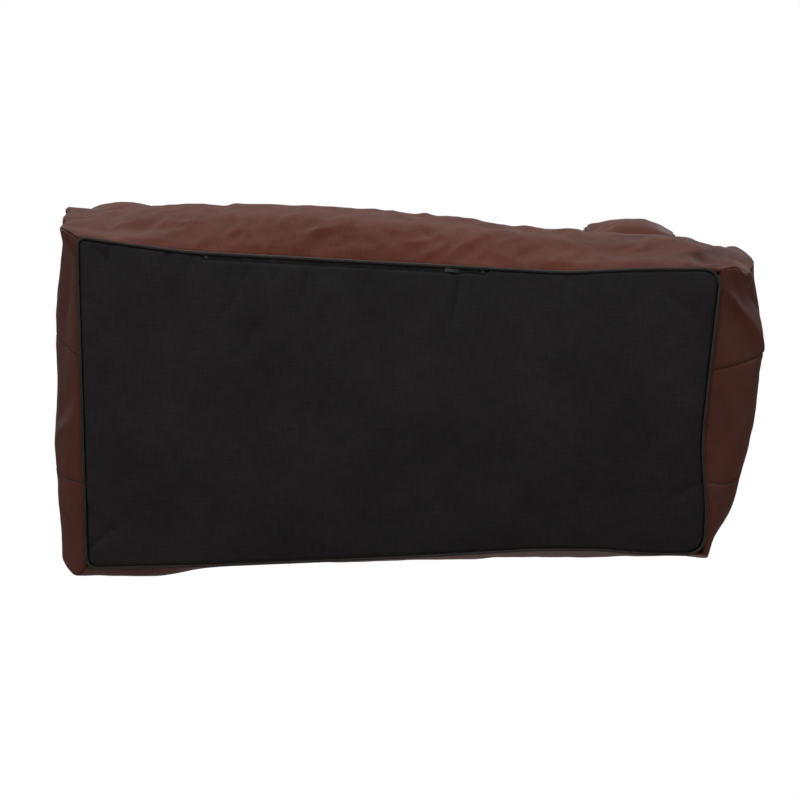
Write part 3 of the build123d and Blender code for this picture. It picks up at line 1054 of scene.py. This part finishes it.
def backrest():
    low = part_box("back_front_panel")[0]
    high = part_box("back_rear_panel")[1]
    panels = {
        "back_front_panel": [FRONT],
        "back_rear_panel": [REAR],
        "back_boxing_strip": [LEFT, RIGHT, BOTTOM, TOP],
    }
    pad("back", panels, low, high)


# ---- base ----
ARC_STEPS = 14  # points round each corner of the base
PIPING_POINTS = 900
PIPING_WOBBLE = 0.0004
CORD_RADIUS = 0.0018


def base_outline(count):
    """Points round the piping's centre line, evenly spaced, before the slump."""
    loop = []
    corners = (
        (1, -1, CORNER_RIGHT),
        (1, 1, CORNER_RIGHT),
        (-1, 1, CORNER_LEFT),
        (-1, -1, CORNER_LEFT),
    )
    for number, (side_x, side_y, radius) in enumerate(corners):
        centre = (side_x * (HALF_WIDTH - radius), side_y * (HALF_DEPTH - radius))
        start = -math.pi / 2 + number * math.pi / 2
        for step in range(ARC_STEPS + 1):
            angle = start + math.pi / 2 * step / ARC_STEPS
            loop.append((centre[0] + radius * math.cos(angle), centre[1] + radius * math.sin(angle)))
    loop = np.array(loop + [loop[0]])
    lengths = np.concatenate([[0], np.cumsum(np.linalg.norm(np.diff(loop, axis=0), axis=1))])
    even = np.linspace(0, lengths[-1], count, endpoint=False)
    return np.column_stack([np.interp(even, lengths, loop[:, axis]) for axis in (0, 1)])


def strip_faces(here, after):
    """Quads between rings of points and the rings after them."""
    corners = (here, after, np.roll(after, -1, axis=1), np.roll(here, -1, axis=1))
    return np.stack(corners, axis=2).reshape(-1, 4)


def tube(name, route, radius, around=12):
    """A round closed cord along a route of points."""
    count = len(route)
    ahead = np.roll(route, -1, axis=0) - np.roll(route, 1, axis=0)
    ahead /= np.linalg.norm(ahead, axis=1, keepdims=True)
    side = np.cross(ahead, (0, 0, 1.0))
    side /= np.linalg.norm(side, axis=1, keepdims=True)
    lift = np.cross(side, ahead)
    rings = []
    for turn in range(around):
        angle = 2 * math.pi * turn / around
        rings.append(route + radius * (math.cos(angle) * side + math.sin(angle) * lift))
    points = np.stack(rings, axis=1).reshape(-1, 3)
    index = np.arange(count * around).reshape(count, around)
    after = np.roll(index, -1, axis=0)
    piece = new_object(name, points, strip_faces(index, after))
    gap = np.linalg.norm(np.roll(route, -1, axis=0) - route, axis=1)
    run = np.concatenate([[0], np.cumsum(gap)])
    length = np.repeat(np.stack((run[:-1], run[1:], run[1:], run[:-1]), axis=1), around, axis=0)
    step = 2 * math.pi * radius / around
    turn = np.tile(np.arange(around), count)[:, None] * step + np.array([0, 0, step, step])
    set_weave(piece, np.stack((length, turn), axis=2).reshape(-1, 2))
    return piece


def piping():
    flat = base_outline(PIPING_POINTS)
    route = base_slump(np.column_stack((flat, np.full(len(flat), PIPING_Z))))
    route[:, 2] += PIPING_WOBBLE * fractal(route, 0.05, 3.0) + PIPING_WOBBLE
    sleeve = tube("base_piping_sleeve", route, PIPING_RADIUS)
    finish_piece(sleeve, "base_piping_sleeve", "piping_fabric")
    cord = tube("base_piping_cord", route, CORD_RADIUS, 8)
    finish_piece(cord, "base_piping_cord", "piping_core")


BASE_GRID = 0.0055
BASE_INSET = 0.0036  # from the piping's centre line to the panel's edge
BASE_REST = 0.0008  # the panel's height above the floor
BASE_RIM = 0.0020  # and how much more at the rim
RIM_SHARE = 0.08
BASE_LOWEST = 0.0003
ZIP_MARGIN = 0.008  # beyond each stop, where the panel gives way to the zip
ZIP_EASE = 0.004
ZIP_GAP = 0.0006
ZIP_FADE = 0.10  # how far in from the front edge the panel gives way
# folds in the base panel: start, end, half width, height
BASE_CREASES = (
    ((-0.47, -0.33), (-0.5, -0.262), 0.007, 0.006),
    ((-0.33, -0.25), (-0.38, -0.17), 0.008, 0.0045),
    ((-0.345, -0.318), (-0.36, -0.23), 0.006, 0.0048),
    ((-0.3, -0.31), (-0.33, -0.255), 0.006, 0.0048),
    ((-0.19, -0.31), (-0.205, -0.225), 0.006, 0.006),
    ((-0.07, -0.31), (-0.08, -0.25), 0.006, 0.0036),
    ((0.112, -0.312), (0.1, -0.195), 0.005, 0.0088),
    ((0.124, -0.312), (0.122, -0.225), 0.006, 0.0044),
    ((0.2, -0.318), (0.204, -0.27), 0.005, 0.0036),
    ((0.33, -0.318), (0.32, -0.255), 0.007, 0.0036),
    ((-0.64, -0.325), (-0.59, -0.285), 0.007, 0.0064),
    ((-0.6, -0.33), (-0.61, -0.28), 0.006, 0.0052),
    ((-0.655, -0.22), (-0.6, -0.19), 0.007, 0.0044),
    ((-0.645, 0.23), (-0.56, 0.31), 0.009, 0.006),
    ((-0.64, 0.33), (-0.575, 0.27), 0.007, 0.0052),
    ((0.52, -0.29), (0.6, -0.24), 0.01, 0.0044),
    ((0.64, 0.1), (0.56, 0.15), 0.009, 0.0044),
    ((-0.43, -0.32), (-0.44, -0.275), 0.006, 0.005),
    ((-0.25, -0.312), (-0.262, -0.27), 0.005, 0.004),
    ((-0.14, -0.312), (-0.138, -0.262), 0.006, 0.0036),
    ((-0.56, -0.325), (-0.54, -0.24), 0.009, 0.005),
    ((-0.28, -0.2), (-0.33, -0.11), 0.012, 0.005),
    ((0.43, -0.325), (0.445, -0.27), 0.008, 0.0036),
)


def base_panel():
    """The woven base: flat on the floor, with small folds where it is gathered at the front seam."""
    counts = (round(2 * HALF_WIDTH / BASE_GRID), round(2 * HALF_DEPTH / BASE_GRID), 1)
    cells, faces, sides = lattice(counts)
    used, faces = renumbered(faces[sides == BOTTOM], len(cells))
    cells = cells[used]
    half_x = HALF_WIDTH - BASE_INSET
    half_y = HALF_DEPTH - BASE_INSET
    x = cells[:, 0] * half_x
    y = cells[:, 1] * half_y
    radius = np.where(x > 0, CORNER_RIGHT, CORNER_LEFT) - BASE_INSET
    x, y = round_plan(x, y, half_x, half_y, radius)
    design = np.column_stack((x, y, np.zeros_like(x)))
    points = base_slump(design)
    zip_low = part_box("zip_start_stop")[0][0] - ZIP_MARGIN
    zip_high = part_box("zip_end_stop")[1][0] + ZIP_MARGIN
    near_zip = smooth_step(zip_low - ZIP_EASE, zip_low, points[:, 0])
    near_zip *= 1 - smooth_step(zip_high, zip_high + ZIP_EASE, points[:, 0])
    front_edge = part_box("zip_tape_base_side")[1][1] - ZIP_GAP
    fade = 1 - smooth_step(-half_y, -half_y + ZIP_FADE, y)
    points[:, 1] += (front_edge + half_y) * near_zip * fade
    edge = np.minimum(1 - np.abs(cells[:, 0]), (1 - np.abs(cells[:, 1])) * HALF_DEPTH / HALF_WIDTH)
    points[:, 2] = BASE_REST + BASE_RIM * (1 - smooth_step(0.0, RIM_SHARE, edge))
    normals = np.tile((0.0, 0.0, -1.0), (len(points), 1))
    weave = design[faces][..., :2]
    piece = sewn_panel("base_panel", points, faces, normals, weave)
    place = read_array(piece.data.vertices, "co", 3)
    lift = crease_height(place[:, :2], BASE_CREASES)
    lift += 0.0010 * np.abs(fractal(place, 0.11, 4.0)) + 0.0005 * fractal(place, 0.035, 9.0)
    place[:, 2] = np.maximum(place[:, 2] + lift, BASE_LOWEST)
    write_points(piece, place)
    finish_piece(piece, "base_panel", "base_fabric")


# ---- zip ----
COIL_PITCH = 0.0013
COIL_WIRE = 0.00032  # the wire's radius
COIL_STEPS = 8  # rings of points in each turn
WIRE_SIDES = 5
TAPE_CELL = 0.002


def zip_tape(node):
    """A flat woven tape."""
    low, high = (np.array(c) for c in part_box(node))
    size = high - low
    cells, faces, _ = lattice((round(size[0] / TAPE_CELL), 4, 1))
    points = (low + high) / 2 + cells * size / 2
    piece = new_object(node, points, faces)
    set_weave(piece, points[faces.ravel()][:, :2])
    finish_piece(piece, node, "zip_tape")


def zip_coil(node):
    """One row of the zip: a nylon wire wound in a flattened coil."""
    low, high = (np.array(c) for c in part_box(node))
    count = (int((high[0] - low[0]) / COIL_PITCH) - 1) * COIL_STEPS
    angle = np.arange(count) * 2 * math.pi / COIL_STEPS
    middle = (low + high) / 2
    half = (high - low) / 2 - COIL_WIRE
    route = np.column_stack((
        low[0] + COIL_WIRE + np.arange(count) * COIL_PITCH / COIL_STEPS,
        middle[1] + half[1] * np.cos(angle),
        middle[2] + half[2] * np.sin(angle),
    ))
    outward = np.column_stack((np.zeros(count), np.cos(angle), np.sin(angle)))
    sideways = np.tile((1.0, 0.0, 0.0), (count, 1))
    rings = []
    for turn in range(WIRE_SIDES):
        turned = 2 * math.pi * turn / WIRE_SIDES
        rings.append(route + COIL_WIRE * (math.cos(turned) * outward + math.sin(turned) * sideways))
    points = np.stack(rings, axis=1).reshape(-1, 3)
    index = np.arange(count * WIRE_SIDES).reshape(count, WIRE_SIDES)
    faces = [tuple(face) for face in strip_faces(index[:-1], index[1:])]
    faces += [tuple(index[0]), tuple(index[-1][::-1])]
    finish_piece(new_object(node, points, faces), node, "zip_coil")


def zip_rows():
    for side in ("base", "piping"):
        zip_tape(f"zip_tape_{side}_side")
        zip_coil(f"zip_coil_{side}_side")


make_camera()
make_world()
make_floor()
make_lights()
bpy.context.scene.view_settings.view_transform = "Standard"

seat_block()
arm("left_arm")
arm("right_arm")
backrest()
piping()
base_panel()
zip_rows()

for node in ("zip_slider", "zip_pull", "zip_start_stop", "zip_end_stop"):
    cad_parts[node].material_slots[0].material = MATERIALS["zip_metal"]
